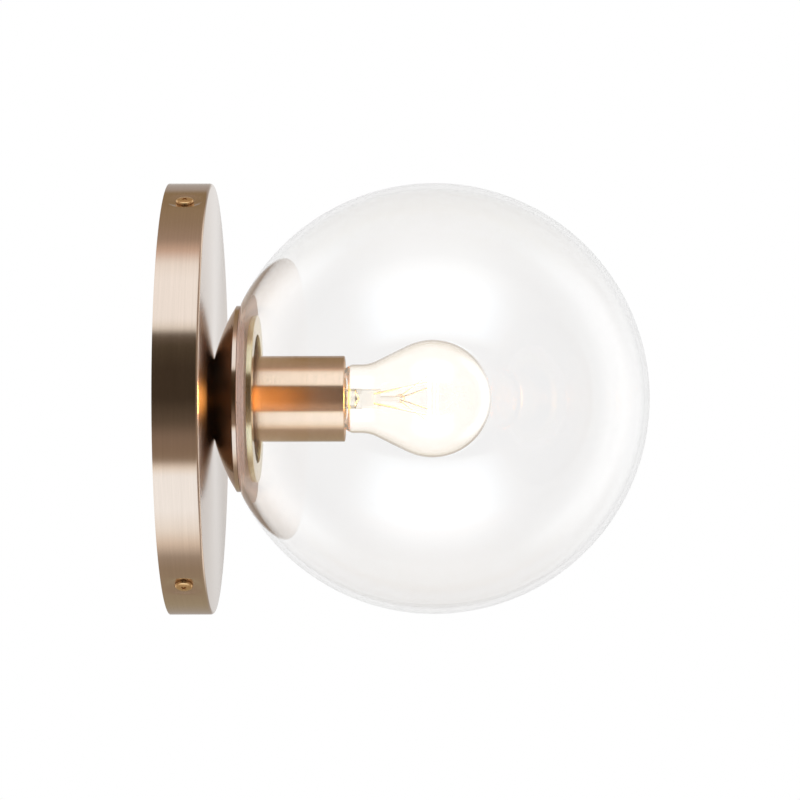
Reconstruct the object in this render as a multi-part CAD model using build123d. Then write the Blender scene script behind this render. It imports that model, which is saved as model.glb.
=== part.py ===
from build123d import *
from math import cos, radians, sin, sqrt, tan
import os

# A globe wall sconce: a round canopy on the wall, a small dish in front of it, a clear glass globe
# held by a collar in the dish, and a lamp on the lampholder inside the socket sleeve.
#
# Millimetres. The origin is the centre of the canopy's back, on the wall. +Z is up and the room is
# towards -Y. "Out" is the distance from the wall, so a point's Y is minus its out. An angle round
# the lamp's axis counts from -X, upwards.

# Canopy and its side screws
canopy_radius = 100.0
canopy_depth = 20.0
canopy_sheet = 1.2
canopy_edge_radius = 1.5
side_screw_count = 3
side_screw_angle = 63.25
side_screw_out = 10.0
side_screw_radius = 2.0
side_screw_length = 8.0
side_head_radius = 4.0
side_head_height = 2.6
side_dimple_radius = 5.4
side_dimple_depth = 0.4
screw_tip_gap = 0.2

# Mounting plate behind the canopy
plate_sheet = 2.0
plate_radius = 60.0
plate_entry_radius = 18.0
lug_width = 14.0
lug_gap = 0.8
lug_height = 15.0
small_box_spacing = 60.0
small_box_slot = 10.0
small_box_slot_radius = 2.1
large_box_spacing = 88.9
large_box_slot = 12.0
large_box_slot_radius = 2.3

# Threaded nipple, M10 x 1, with its nuts
nipple_radius = 5.0
nipple_bore_radius = 4.0
nipple_behind = 7.8
nipple_length = 19.0
nut_flats = 14.0
nut_height = 3.0
washer_height = 1.0
washer_radius = 9.0
washer_notch_count = 12
washer_notch_width = 1.6
washer_notch_depth = 1.3
bush_flange_radius = 6.2
bush_flange_height = 1.2
bush_length = 5.0
bush_wall = 0.7

# Dish: a spun cap with a thick turned rim
dish_flat_radius = 18.3
dish_radius = 43.35
dish_cap_depth = 10.5
dish_rim_length = 2.1
dish_sheet = 1.2
rim_bore_radius = 40.0

# Globe, its collar, and the clear silicone between glass and metal
globe_radius = 100.0
globe_wall = 2.5
globe_opening_radius = 40.05
gasket_height = 0.5
gasket_width = 2.9
collar_radius = 39.0
collar_hole_radius = 30.0
collar_wall = 1.5
collar_flange = 2.0
collar_height = 9.7
collar_skirt_length = 2.2
collar_chamfer = 0.3
bond_reach = 3.9

# Socket sleeve and lampholder
sleeve_radius = 20.0
sleeve_wall = 1.0
sleeve_corner = 2.6
sleeve_length = 59.5
holder_gap = 0.4
holder_wall = 2.2
holder_floor = 2.5
holder_dome = 7.0
holder_edge = 1.0
holder_lip = 0.8
holder_recess = 2.7
holder_boss_height = 4.0
holder_joint = 18.3
insert_back = 16.8
insert_height = 7.5
insert_boss_height = 2.0
insert_boss_margin = 1.0
terminal_spread = 7.0
terminal_size = 5.0
terminal_height = 4.0
rivet_radius = 1.2
shell_sheet = 0.5
shell_floor_width = 3.2
shell_length = 24.5
contact_width = 5.0
contact_sheet = 0.4
contact_rise = 1.3
contact_flat = 4.0
contact_end = 2.5

# Lamp: clear A-shape on a 27 mm screw base
lamp_radius = 27.4
lamp_length = 95.9
lamp_glass = 0.8
lamp_neck_radius = 16.0
lamp_cone_angle = 26.57
lamp_shoulder_share = 0.314
lamp_throat_radius = 20.8
lamp_shoulder_radius = 5.0
lamp_tail_length = 8.0
lamp_tail_gap = 0.65
base_length = 26.5
base_radius = 13.1
base_thread_depth = 1.0
base_sheet = 0.5
base_pitch = 3.62
base_turns = 5
base_collar = 3.6
base_seat_gap = 0.2
insulator_height = 2.7
insulator_margin = 1.0
insulator_spigot = 1.2
base_contact_radius = 4.8
base_contact_height = 0.8
stem_tube_radius = 4.7
stem_flare_length = 5.0
stem_taper = 3.0
stem_wall = 1.0
stem_tube_length = 9.0
press_length = 9.0
press_width = 9.0
press_thickness = 3.6
press_seal = 3.0
stem_rod_radius = 1.2
stem_rod_length = 9.0
stem_button_radius = 2.2
lead_in_radius = 0.35
support_radius = 0.2
support_count = 4
filament_setback = 1.5
filament_ring_radius = 10.5
filament_arc = 270.0
filament_coil_radius = 0.6

# Terminal block, earth screw and the wires
block_centre_x = 52.0
block_length = 30.0
block_width = 18.0
block_height = 12.0
block_corner = 1.5
pole_count = 3
pole_pitch = 9.0
pole_out = 8.5
pole_radius = 2.3
pole_bore_radius = 1.5
pole_length = 15.0
clamp_screw_radius = 1.25
clamp_screw_spacing = 9.0
clamp_screw_recess = 0.8
clamp_slot_width = 0.5
clamp_slot_depth = 0.7
fixing_screw_radius = 1.5
fixing_head_radius = 2.8
fixing_head_height = 1.8
fixing_slot_width = 0.7
earth_x = 34.0
earth_z = -38.0
earth_screw_radius = 2.0
earth_head_radius = 4.0
earth_head_height = 2.6
earth_tag_sheet = 0.8
earth_eye_margin = 0.4
earth_neck_length = 1.6
earth_neck_width = 2.4
earth_barrel_radius = 1.9
wire_radius = 1.1
core_radius = 0.55
core_length = 5.0
wire_end_gap = 0.2
stripped_end = 0.3
wire_straight_end = 6.0
wire_turn_x = 14.0
wire_turn_rise = 4.6
wire_fan_start = 2.2
wire_fan_length = 4.0
earth_wire_bend_x = 38.0

# Clearances
thread_gap = 0.05
globe_thread_gap = 0.08
shell_lip_gap = 0.15
shell_gap = 0.35
slip_gap = 0.1
wide_gap = 0.25

# Places that follow from the sizes above, all in out
canopy_back_of_face = canopy_depth - canopy_sheet
nipple_back = canopy_depth - canopy_sheet - nipple_behind
nipple_front = nipple_back + nipple_length
dish_floor = canopy_depth + dish_sheet
rim_back = canopy_depth + dish_cap_depth
rim_front = rim_back + dish_rim_length
glass_edge = rim_front + gasket_height
globe_centre = glass_edge + sqrt((globe_radius - globe_wall) ** 2 - globe_opening_radius**2)
collar_back = rim_front - slip_gap - collar_skirt_length
collar_front = collar_back + collar_height
sleeve_front = dish_floor + sleeve_length
holder_back = dish_floor + sleeve_wall + nut_height
holder_front = sleeve_front - holder_recess
holder_radius = sleeve_radius - sleeve_wall - holder_gap
holder_split = holder_back + holder_joint
insert_out = holder_back + insert_back
insert_front = insert_out + insert_height
boss_front = insert_front + insert_boss_height
shell_radius = base_radius + shell_gap
skirt_bore = shell_radius + shell_sheet + wide_gap
base_root_radius = base_radius - base_thread_depth
lamp_contact = boss_front + contact_rise
base_front = lamp_contact + base_length
lamp_tip = lamp_contact + lamp_length
lamp_centre = lamp_tip - lamp_radius
lamp_tail_radius = base_root_radius - base_sheet - lamp_tail_gap
lamp_tail_out = base_front - lamp_tail_length
press_back = base_front + stem_tube_length
press_front = press_back + press_length
filament_out = lamp_centre - filament_setback
wall_screw_room = canopy_radius - canopy_sheet

# The dish's cap is part of a sphere through its flat floor's edge and its rim's back edge
cap_height = (
    dish_radius**2 + dish_cap_depth**2 - dish_flat_radius**2
) / (2 * dish_cap_depth)
cap_radius = sqrt(dish_flat_radius**2 + cap_height**2)
cap_centre = canopy_depth + cap_height


def facing(out):
    """The plane at this distance from the wall, whose own axes are X and Z and which faces the room."""
    return Plane.XZ.offset(out)


def turned(*corners):
    """Revolves an outline of (radius, out) corners about the lamp's axis."""
    outline = Polyline([(radius, -out) for radius, out in corners], close=True)
    return revolve(make_face(outline), Axis.Y)


def ring(inner, outer, out_low, out_high):
    """A plain ring, or a disc where inner is 0."""
    return turned((inner, out_low), (outer, out_low), (outer, out_high), (inner, out_high))


def ball(radius, centre_out):
    """A ball on the lamp's axis with its poles on that axis."""
    return Pos(0, -centre_out, 0) * Rot(90, 0, 0) * Sphere(radius)


def raised(sketch, out, height):
    """Extrudes a sketch in X and Z towards the room."""
    return extrude(facing(out) * sketch, height)


def radial(angle, out):
    """The place whose own +Z points away from the lamp's axis at this angle."""
    return Pos(0, -out, 0) * Rot(0, angle - 90, 0)


def wire_along(points, radius):
    """A round wire on straight runs joined by arcs as large as the runs allow."""
    points = [Vector(*point) for point in points]
    runs = [(b - a) for a, b in zip(points, points[1:])]
    radii = []
    for before, after in zip(runs, runs[1:]):
        half_turn = radians(before.get_angle(after)) / 2
        radii.append(0.45 * min(before.length, after.length) / tan(half_turn))
    path = FilletPolyline(*points, radius=radii)
    return sweep(Plane(path @ 0, z_dir=path % 0) * Circle(radius), path=path)


def straight_wire(start, end, radius):
    """A straight round wire between two points."""
    path = Line(start, end)
    return sweep(Plane(path @ 0, z_dir=path % 0) * Circle(radius), path=path)


side_screw_angles = [
    side_screw_angle - 360 / side_screw_count * i for i in range(side_screw_count)
]


def wall_canopy():
    """A shallow spun pan. Its rim has a dimpled hole for each side screw, its face one for the nipple."""
    pan = ring(0, canopy_radius, 0, canopy_depth)
    face_rim = pan.faces().sort_by(Axis.Y)[0].edges()
    pan = fillet(face_rim, canopy_edge_radius)
    pan -= ring(0, canopy_radius - canopy_sheet, -1, canopy_back_of_face)
    pan -= ring(0, nipple_radius + slip_gap, canopy_back_of_face - 1, canopy_depth + 1)
    for angle in side_screw_angles:
        place = radial(angle, side_screw_out)
        hole = Pos(0, 0, canopy_radius) * Cylinder(side_screw_radius + wide_gap, 8 * canopy_sheet)
        seat = canopy_radius - side_dimple_depth
        dimple = Pos(0, 0, seat + canopy_sheet) * Cylinder(side_dimple_radius, 2 * canopy_sheet)
        pan -= place * (hole + dimple)
    return pan


def canopy_screw(angle):
    """A pan head machine screw with a cross recess, along a radius of the canopy."""
    seat = canopy_radius - side_dimple_depth + slip_gap / 2
    low = Align.CENTER, Align.CENTER, Align.MIN
    head = Cylinder(side_head_radius, side_head_height, align=low)
    top_edge = head.edges().sort_by(Axis.Z)[-1]
    head = fillet(top_edge, 0.55 * side_head_height)
    slot = 0.26 * side_head_radius
    for turn in (0, 90):
        bar = Box(1.15 * side_head_radius, slot, 0.6 * side_head_height, align=low)
        head -= Pos(0, 0, 0.45 * side_head_height) * Rot(0, 0, 45 + turn) * bar
    shank = Pos(0, 0, -side_screw_length) * Cylinder(
        side_screw_radius - thread_gap, side_screw_length, align=low
    )
    shank = chamfer(shank.edges().sort_by(Axis.Z)[0], 0.2 * side_screw_radius)
    return radial(angle, side_screw_out) * Pos(0, 0, seat) * (head + shank)


def mounting_plate():
    """A pressed steel bracket: a slotted disc with an arm and a bent, tapped lug for each side screw."""
    plate = ring(0, plate_radius, 0, plate_sheet)
    lug_face = wall_screw_room - lug_gap
    low = Align.CENTER, Align.MAX, Align.MIN
    for angle in side_screw_angles:
        place = radial(angle, 0)
        arm = Box(lug_width, plate_sheet, lug_face, align=low)
        lug = Pos(0, 0, lug_face - plate_sheet) * Box(lug_width, lug_height, plate_sheet, align=low)
        tapped = Cylinder(side_screw_radius, 6 * plate_sheet)
        tapped = Pos(0, -side_screw_out, lug_face) * tapped
        plate += place * arm + place * lug
        plate -= place * tapped
    plate -= ring(0, plate_entry_radius, -1, plate_sheet + 1)
    slot = SlotOverall(small_box_slot, 2 * small_box_slot_radius)
    for side in (-1, 1):
        plate -= raised(Pos(side * small_box_spacing / 2, 0) * slot, -1, plate_sheet + 2)
    slot = Rot(0, 0, 90) * SlotOverall(large_box_slot, 2 * large_box_slot_radius)
    for side in (-1, 1):
        plate -= raised(Pos(0, side * large_box_spacing / 2) * slot, -1, plate_sheet + 2)
    plate -= raised(Pos(earth_x, earth_z) * Circle(earth_screw_radius), -1, plate_sheet + 2)
    fixing = Pos(block_centre_x, pole_pitch / 2) * Circle(fixing_screw_radius)
    plate -= raised(fixing, -1, plate_sheet + 2)
    return plate


def earth_screw():
    """A pan head screw in the plate that clamps the earth wire's tag."""
    tag_top = plate_sheet + earth_tag_sheet
    place = Pos(earth_x, 0, earth_z)
    head = place * ring(0, earth_head_radius, tag_top, tag_top + earth_head_height)
    head = fillet(head.edges().sort_by(Axis.Y)[0], 0.45 * earth_head_height)
    bar = Rectangle(1.2 * earth_head_radius, 0.25 * earth_head_radius)
    cross = bar + Rot(0, 0, 90) * bar
    head -= raised(Pos(earth_x, earth_z) * cross, tag_top + 0.5 * earth_head_height, earth_head_height)
    return head + place * ring(0, earth_screw_radius - thread_gap, screw_tip_gap, tag_top)


def earth_tag():
    """The ring terminal under the earth screw, with the barrel that grips the wire."""
    eye = Circle(earth_head_radius + earth_eye_margin) - Circle(earth_screw_radius + slip_gap)
    neck_end = earth_head_radius + earth_neck_length
    neck = Pos(0, neck_end - earth_neck_length / 2) * Rectangle(
        earth_neck_width, earth_neck_length + 2 * earth_eye_margin
    )
    barrel = Cylinder(earth_barrel_radius, core_length) - Cylinder(core_radius + slip_gap, core_length)
    barrel_out = plate_sheet + earth_barrel_radius
    barrel_place = Pos(earth_x, -barrel_out, earth_z + neck_end + core_length / 2)
    return raised(Pos(earth_x, earth_z) * (eye + neck), plate_sheet, earth_tag_sheet) + barrel_place * barrel


def threaded_nipple():
    """The hollow threaded stem that clamps canopy, dish and sleeve together and carries the holder."""
    return ring(nipple_bore_radius, nipple_radius, nipple_back, nipple_front)


def hex_nut(out):
    """A hexagon nut on the nipple, with its corners turned off towards the wall and the room."""
    across_corners = nut_flats / 2 / cos(radians(30))
    nut = raised(RegularPolygon(across_corners, 6), out, nut_height)
    bevel = 0.12 * nut_height
    blank = turned(
        (0, out),
        (across_corners - bevel, out),
        (across_corners, out + bevel),
        (across_corners, out + nut_height - bevel),
        (across_corners - bevel, out + nut_height),
        (0, out + nut_height),
    )
    return (nut & blank) - ring(0, nipple_radius + thread_gap / 2, out - 1, out + nut_height + 1)


def nipple_nuts():
    """One nut behind the canopy and one inside the sleeve."""
    behind = hex_nut(canopy_back_of_face - washer_height - nut_height)
    return Compound(children=[behind, hex_nut(dish_floor + sleeve_wall)])


def lock_washer():
    """A toothed washer between the rear nut and the canopy, which also earths the canopy."""
    out = canopy_back_of_face - washer_height
    washer = ring(nipple_radius + slip_gap, washer_radius, out, out + washer_height)
    notch = Pos(washer_radius, 0) * Rectangle(2 * washer_notch_depth, washer_notch_width)
    for i in range(washer_notch_count):
        gap = Rot(0, 0, 360 / washer_notch_count * i) * notch
        washer -= raised(gap, out - 1, washer_height + 2)
    return washer


def nipple_bush():
    """A plastic bush that keeps the nipple's sharp end off the wires."""
    spigot = nipple_bore_radius - thread_gap
    back = nipple_back - bush_flange_height
    return turned(
        (spigot - bush_wall, back),
        (bush_flange_radius, back),
        (bush_flange_radius, nipple_back),
        (spigot, nipple_back),
        (spigot, nipple_back + bush_length),
        (spigot - bush_wall, nipple_back + bush_length),
    )


def cap_out(sphere_radius, radius):
    """Where a sphere about the dish's centre reaches this radius."""
    return cap_centre - sqrt(sphere_radius**2 - radius**2)


def cap_arc(sphere_radius, start_radius, end_radius):
    """The arc of that sphere between two radii, in the outline's plane."""
    middle = (start_radius + end_radius) / 2
    points = [
        (radius, -cap_out(sphere_radius, radius)) for radius in (start_radius, middle, end_radius)
    ]
    return ThreePointArc(*points)


def glass_dish():
    """The spun dish behind the globe, with a flat floor and a thick turned rim."""
    bore = nipple_radius + slip_gap
    inside = cap_radius - dish_sheet
    floor_radius = sqrt(inside**2 - (cap_centre - dish_floor) ** 2)
    outer = cap_arc(cap_radius, dish_flat_radius, dish_radius)
    inner = cap_arc(inside, rim_bore_radius, floor_radius)
    rim = Polyline(
        outer @ 1, (dish_radius, -rim_front), (rim_bore_radius, -rim_front), inner @ 0
    )
    floor = Polyline(inner @ 1, (bore, -dish_floor), (bore, -canopy_depth), outer @ 0)
    return revolve(make_face(outer + rim + inner + floor), Axis.Y)


def globe_glass():
    """The blown globe, with its opening ground flat."""
    globe = ball(globe_radius, globe_centre) - ball(globe_radius - globe_wall, globe_centre)
    return globe - ring(0, globe_radius, 0, glass_edge)


def fitter_collar():
    """The turned collar bonded in the opening: a threaded skirt, a tube and an inward front flange."""
    skirt = rim_bore_radius - globe_thread_gap
    shoulder = collar_back + collar_skirt_length
    inside = collar_radius - collar_wall
    collar = turned(
        (inside, collar_back),
        (skirt, collar_back),
        (skirt, shoulder),
        (collar_radius, shoulder),
        (collar_radius, collar_front),
        (collar_hole_radius, collar_front),
        (collar_hole_radius, collar_front - collar_flange),
        (inside, collar_front - collar_flange),
    )
    return chamfer(collar.faces().sort_by(Axis.Y)[0].edges(), collar_chamfer)


def globe_gasket():
    """The flat clear silicone ring between the dish's rim and the ground glass edge."""
    inner = globe_opening_radius + wide_gap
    return ring(inner, inner + gasket_width, rim_front, glass_edge)


def collar_bond():
    """The clear silicone bead that fills the opening round the collar and climbs the glass."""
    glass_inside = globe_radius - globe_wall
    climb = collar_radius + bond_reach
    climb_out = globe_centre - sqrt(glass_inside**2 - climb**2)
    return turned(
        (collar_radius, rim_front + thread_gap),
        (rim_bore_radius - slip_gap, rim_front + thread_gap),
        (rim_bore_radius - slip_gap, glass_edge),
        (globe_opening_radius, glass_edge),
        (climb, climb_out),
        (collar_radius, glass_edge + bond_reach),
    )


def socket_sleeve():
    """The brushed cup round the lampholder, open towards the lamp."""
    sleeve = ring(0, sleeve_radius, dish_floor, sleeve_front)
    back_edge = sleeve.faces().sort_by(Axis.Y)[-1].edges()
    sleeve = fillet(back_edge, sleeve_corner)
    inside = ring(0, sleeve_radius - sleeve_wall, dish_floor + sleeve_wall, sleeve_front + 1)
    back_edge = inside.faces().sort_by(Axis.Y)[-1].edges()
    sleeve -= fillet(back_edge, sleeve_corner - sleeve_wall)
    return sleeve - ring(0, nipple_radius + slip_gap, dish_floor - 1, dish_floor + 2 * sleeve_wall)


def holder_cap():
    """The moulded rear half of the lampholder, tapped for the nipple."""
    bore = nipple_radius + thread_gap / 2
    inside = holder_radius - holder_wall
    ledge = holder_back + holder_floor
    slant = holder_radius - holder_dome - sqrt(2) * holder_wall
    return turned(
        (bore, holder_back),
        (holder_radius - holder_dome, holder_back),
        (holder_radius, holder_back + holder_dome),
        (holder_radius, holder_split),
        (inside, holder_split),
        (inside, holder_back + inside - slant),
        (slant + holder_floor, ledge),
        (nipple_radius + holder_wall, ledge),
        (nipple_radius + holder_wall, holder_back + holder_boss_height),
        (bore, holder_back + holder_boss_height),
    )


def holder_insert():
    """The ceramic base that carries the terminals behind and the contacts in front."""
    seat = holder_radius - holder_wall - wide_gap
    boss = ring(0, shell_radius - insert_boss_margin, insert_front, boss_front)
    puck = ring(0, seat, insert_out, insert_front) + boss
    depth = boss_front - insert_out
    for x, z in rivet_places():
        puck -= raised(Pos(x, z) * Circle(rivet_radius + thread_gap), insert_out - 1, depth + 2)
    return puck


def rivet_places():
    """The centre contact's rivet and the shell's rivet, behind their terminals."""
    return (0, terminal_spread), (0, -terminal_spread)


def holder_terminals():
    """The two brass terminal blocks on the insert's back, each bored for a wire."""
    back = insert_out - terminal_height
    blocks = []
    for x, z in rivet_places():
        block = raised(Pos(x, z) * Rectangle(terminal_size, terminal_size), back, terminal_height)
        bore = Pos(x, z) * Circle(core_radius + slip_gap)
        blocks.append(block - raised(bore, back - 1, terminal_height))
    return Compound(children=blocks)


def contact_rivets():
    """The rivets that join each terminal to its contact through the insert."""
    return Compound(
        children=[
            raised(Pos(x, z) * Circle(rivet_radius), insert_out, insert_front - insert_out)
            + raised(Pos(x, z) * Circle(rivet_radius), insert_front, insert_boss_height)
            for x, z in rivet_places()
        ]
    )


def centre_contact():
    """The bent spring leaf under the lamp's centre contact."""
    tip = lamp_contact - slip_gap
    foot = boss_front + contact_sheet
    top = terminal_spread + 0.5 * contact_width
    heel = terminal_spread - 0.5 * contact_width
    leaf = Polyline(
        (-boss_front, top),
        (-foot, top),
        (-foot, heel),
        (-tip, contact_flat - contact_end),
        (-tip, -contact_end),
        (contact_sheet - tip, -contact_end),
        (contact_sheet - tip, contact_flat - contact_end - contact_sheet / 2),
        (-boss_front, heel),
        close=True,
    )
    return extrude(Plane.YZ.offset(-contact_width / 2) * make_face(leaf), contact_width)


def shell_contact():
    """The tag from the shell's floor to its rivet."""
    outer = shell_radius - shell_floor_width / 2
    inner = terminal_spread - contact_width / 2
    tag = Pos(0, -(outer + inner) / 2) * Rectangle(contact_width, outer - inner)
    return raised(tag, boss_front, contact_sheet)


def screw_shell():
    """The thin metal shell that the lamp screws into, drawn at its thread's root."""
    back = boss_front + contact_sheet
    outer = shell_radius + shell_sheet
    return turned(
        (shell_radius - shell_floor_width, back),
        (outer, back),
        (outer, back + shell_length),
        (shell_radius, back + shell_length),
        (shell_radius, back + shell_sheet),
        (shell_radius - shell_floor_width, back + shell_sheet),
    )


def holder_skirt():
    """The moulded front half of the lampholder, round the shell."""
    seat = holder_radius - holder_wall
    mouth = shell_radius + shell_lip_gap
    return turned(
        (seat, holder_split),
        (holder_radius, holder_split),
        (holder_radius, holder_front - holder_edge),
        (holder_radius - holder_edge, holder_front),
        (mouth, holder_front),
        (mouth, holder_front - holder_lip),
        (skirt_bore, holder_front - holder_lip),
        (skirt_bore, insert_front),
        (seat, insert_front),
    )


def limited_radii(corners, wanted):
    """The wanted bend at each inner corner, held within the runs on both sides of it."""
    points = [Vector(*corner) for corner in corners]
    runs = [(b - a) for a, b in zip(points, points[1:])]
    radii = []
    for before, after, radius in zip(runs, runs[1:], wanted):
        half_turn = radians(before.get_angle(after)) / 2
        radii.append(min(radius, 0.45 * min(before.length, after.length) / tan(half_turn)))
    return radii


def lamp_outline(inset):
    """The envelope's outline from its tip to the base, brought in by the wall for its inside."""
    radius = lamp_radius - inset
    lean = radians(lamp_cone_angle)
    leave = radius * cos(lean), -(lamp_centre - radius * sin(lean))
    neck = lamp_neck_radius - inset
    neck_out = -leave[1] - (leave[0] - neck) / tan(lean)
    shoulder_out = base_front + lamp_shoulder_share * (neck_out - base_front)
    lean_half = lean / 2 - radians(45)
    dome = ThreePointArc(
        (0, -(lamp_centre + radius)),
        (radius * cos(lean_half), -(lamp_centre - radius * sin(lean_half))),
        leave,
    )
    foot = base_radius - base_seat_gap - inset, -(base_front + inset)
    corners = [leave, (neck, -neck_out), (neck, -shoulder_out), foot]
    radii = limited_radii(corners, [lamp_throat_radius + inset, lamp_shoulder_radius - inset])
    return dome + FilletPolyline(*corners, radius=radii)


def lamp_solid(inset, tail_out):
    """The solid inside that outline, with a straight tail down inside the base."""
    foot = base_radius - base_seat_gap - inset, -(base_front + inset)
    tail = lamp_tail_radius - inset
    closing = Polyline(
        foot, (tail, foot[1]), (tail, -tail_out), (0, -tail_out), (0, -(lamp_tip - inset))
    )
    return revolve(make_face(lamp_outline(inset) + closing), Axis.Y)


def lamp_envelope():
    """The lamp's clear blown glass, open at the tail where the stem closes it."""
    return lamp_solid(0, lamp_tail_out) - lamp_solid(lamp_glass, lamp_tail_out - 1)


def lamp_base():
    """The thin metal screw base, with its rolled thread drawn as rings."""
    thread_back = base_front - base_collar - base_turns * base_pitch
    outline = Line((base_radius, -base_front), (base_radius, -(base_front - base_collar)))
    for i in range(base_turns):
        crest = base_front - base_collar - i * base_pitch
        outline += ThreePointArc(
            (base_radius, -crest),
            (base_root_radius, -(crest - base_pitch / 2)),
            (base_radius, -(crest - base_pitch)),
        )
    foot = lamp_contact + insulator_height + base_contact_height
    inside = base_root_radius - base_sheet
    outline += Polyline(
        (base_radius, -thread_back),
        (base_root_radius, -foot),
        (inside, -foot),
        (inside, -(base_front - base_collar)),
        (base_radius - base_sheet, -(base_front - base_collar)),
        (base_radius - base_sheet, -base_front),
        (base_radius, -base_front),
    )
    return revolve(make_face(outline), Axis.Y)


def lamp_insulator():
    """The black glass button that closes the base round its centre contact."""
    back = lamp_contact + base_contact_height
    spigot = base_root_radius - base_sheet - thread_gap
    return turned(
        (0, back),
        (base_contact_radius + insulator_margin, back),
        (base_root_radius, back + insulator_height),
        (spigot, back + insulator_height),
        (spigot, back + insulator_height + insulator_spigot),
        (0, back + insulator_height + insulator_spigot),
    )


def lamp_contact_button():
    """The soldered contact in the middle of the base."""
    return turned(
        (0, lamp_contact),
        (0.6 * base_contact_radius, lamp_contact),
        (base_contact_radius, lamp_contact + base_contact_height),
        (0, lamp_contact + base_contact_height),
    )


def lamp_stem():
    """The glass stem: a flare sealed to the envelope, a tube, a flat press and a rod with a button."""
    flare = lamp_tail_radius - lamp_glass - thread_gap
    inside = stem_tube_radius - stem_wall
    flare_out = lamp_tail_out + stem_flare_length
    tube = turned(
        (flare - stem_wall, lamp_tail_out),
        (flare, lamp_tail_out),
        (stem_tube_radius, flare_out),
        (stem_tube_radius, press_back),
        (0, press_back),
        (0, press_back - stem_wall),
        (inside, press_back - stem_taper),
        (inside, flare_out),
    )
    press = RectangleRounded(press_thickness, press_width, 0.45 * press_thickness)
    rod_front = press_front + stem_rod_length
    stem = tube + raised(press, press_back, press_length)
    stem += ring(0, stem_rod_radius, press_front, rod_front)
    stem += ball(stem_button_radius, rod_front)
    return stem - lamp_lead_ins() - lamp_supports()


def filament_end(side):
    """Where the filament meets a lead-in wire; side is 1 for the upper and -1 for the lower one."""
    half_gap = radians((360 - filament_arc) / 2)
    return filament_ring_radius * cos(half_gap), side * filament_ring_radius * sin(half_gap)


def lamp_lead_ins():
    """The two wires sealed in the press that carry the filament's ends."""
    wires = []
    for side in (-1, 1):
        x, z = filament_end(side)
        start = (0, -(press_front - press_seal), side * 0.25 * press_width)
        end = (x, -(filament_out - filament_coil_radius - slip_gap), z)
        wires.append(straight_wire(start, end, lead_in_radius))
    return Compound(children=wires)


def lamp_supports():
    """The fine hooks from the rod's button that hold the filament between its ends."""
    button = press_front + stem_rod_length
    spread = filament_arc / (support_count + 1)
    wires = []
    for i in range(support_count):
        turn = radians((360 - filament_arc) / 2 + spread * (i + 1))
        direction = cos(turn), sin(turn)
        start = [0.8 * stem_rod_radius * part for part in direction]
        end = [filament_ring_radius * part for part in direction]
        wires.append(
            straight_wire(
                (start[0], -button, start[1]),
                (end[0], -(filament_out - filament_coil_radius - slip_gap), end[1]),
                support_radius,
            )
        )
    return Compound(children=wires)


def lamp_filament():
    """The coiled filament, drawn as the round envelope of its coil, bent into most of a ring."""
    path = facing(filament_out) * CenterArc(
        (0, 0), filament_ring_radius, (360 - filament_arc) / 2, filament_arc
    )
    return sweep(Plane(path @ 0, z_dir=path % 0) * Circle(filament_coil_radius), path=path)


def pole_places():
    """The heights of the terminal block's poles: live, neutral, earth."""
    middle = (pole_count - 1) / 2
    return [(middle - i) * pole_pitch for i in range(pole_count)]


def block_clamp_places():
    """The X of the two clamp screws of each pole."""
    return [block_centre_x + side * clamp_screw_spacing / 2 for side in (-1, 1)]


def terminal_block():
    """The moulded block on the plate where the supply meets the lamp's wires."""
    body = raised(
        Pos(block_centre_x, 0) * RectangleRounded(block_width, block_length, block_corner),
        plate_sheet,
        block_height,
    )
    for z in pole_places():
        body -= Pos(block_centre_x, -pole_out, z) * Rot(0, 90, 0) * Cylinder(
            pole_radius + thread_gap, 2 * block_width
        )
        for x in block_clamp_places():
            well = Pos(x, z) * Circle(clamp_screw_radius + 2 * thread_gap)
            body -= raised(well, pole_out, block_height)
    fixing = Pos(block_centre_x, pole_pitch / 2) * Circle(fixing_screw_radius + slip_gap)
    return body - raised(fixing, 0, 2 * block_height)


def terminal_sleeves():
    """The brass tube of each pole, bored for the wires and cross-drilled for its clamp screws."""
    sleeves = []
    for z in pole_places():
        sleeve = Cylinder(pole_radius, pole_length) - Cylinder(pole_bore_radius, pole_length)
        sleeve = Pos(block_centre_x, -pole_out, z) * Rot(0, 90, 0) * sleeve
        for x in block_clamp_places():
            hole = Pos(x, z) * Circle(clamp_screw_radius + thread_gap)
            sleeve -= raised(hole, pole_out, block_height)
        sleeves.append(sleeve)
    return Compound(children=sleeves)


def terminal_screws():
    """The six slotted clamp screws of the terminal block."""
    top = plate_sheet + block_height - clamp_screw_recess
    tip = pole_out + core_radius + thread_gap
    screws = []
    for z in pole_places():
        for x in block_clamp_places():
            screw = raised(Pos(x, z) * Circle(clamp_screw_radius), tip, top - tip)
            slot = Pos(x, z) * Rectangle(clamp_slot_width, 3 * clamp_screw_radius)
            screws.append(screw - raised(slot, top - clamp_slot_depth, 2 * clamp_slot_depth))
    return Compound(children=screws)


def block_fixing_screw():
    """The screw that holds the terminal block on the plate."""
    top = plate_sheet + block_height
    place = Pos(block_centre_x, 0, pole_pitch / 2)
    head = ring(0, fixing_head_radius, top, top + fixing_head_height)
    shank = ring(0, fixing_screw_radius - thread_gap, screw_tip_gap, top)
    slot = Rectangle(fixing_slot_width, 3 * fixing_head_radius)
    slot = raised(slot, top + fixing_head_height / 2, fixing_head_height)
    return place * (head + shank - slot)


def pole_core(z):
    """The bare end of a wire inside its pole at this height."""
    pole_end = block_centre_x - pole_length / 2
    start = pole_end - wire_end_gap - stripped_end
    return straight_wire((start, -pole_out, z), (pole_end + core_length, -pole_out, z), core_radius)


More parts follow.
